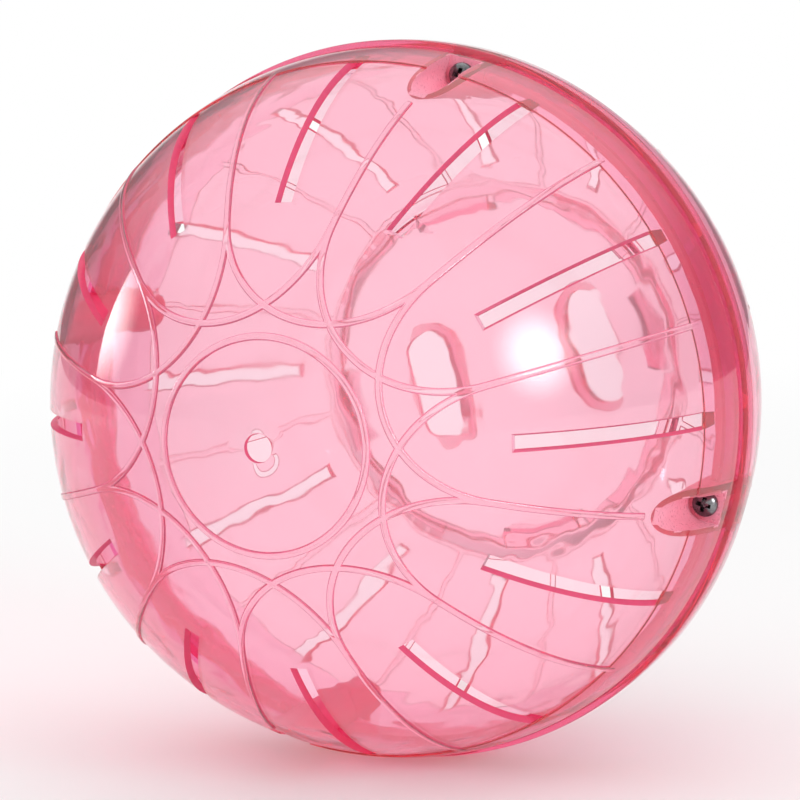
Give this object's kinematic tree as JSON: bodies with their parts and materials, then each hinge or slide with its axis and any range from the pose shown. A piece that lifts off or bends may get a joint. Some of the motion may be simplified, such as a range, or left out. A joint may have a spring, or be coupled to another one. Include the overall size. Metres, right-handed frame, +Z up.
{
  "type": "hamster ball",
  "caption": "Hollow translucent ball for a small rodent to run in: two vented cups screwed together at a raised rim, with a round lift-out door that has finger slots.",
  "frame": {"origin": "centre of the ball, on its axis, in the plane of the seam between the two cups", "axes": "+Y along the ball's axis from the front pole toward the door, +Z up as the ball stands on its rim, +X to the right seen from the front pole"},
  "size_m": [0.1496, 0.1468, 0.1496],
  "materials": {
    "shell_plastic": "clear pink, polished",
    "door_plastic": "clear pink, polished",
    "screw_steel": "bright dark steel"
  },
  "bodies": {
    "ball": {"front_shell": "shell_plastic", "back_shell": "shell_plastic", "screw_1": "screw_steel", "screw_2": "screw_steel", "screw_3": "screw_steel", "screw_4": "screw_steel"},
    "door": {"door": "door_plastic"}
  },
  "joints": [
    {"name": "door_lift", "type": "slide", "parent": "ball", "child": "door", "axis": [0, 1, 0], "range_m": [0, 0.06]}
  ]
}
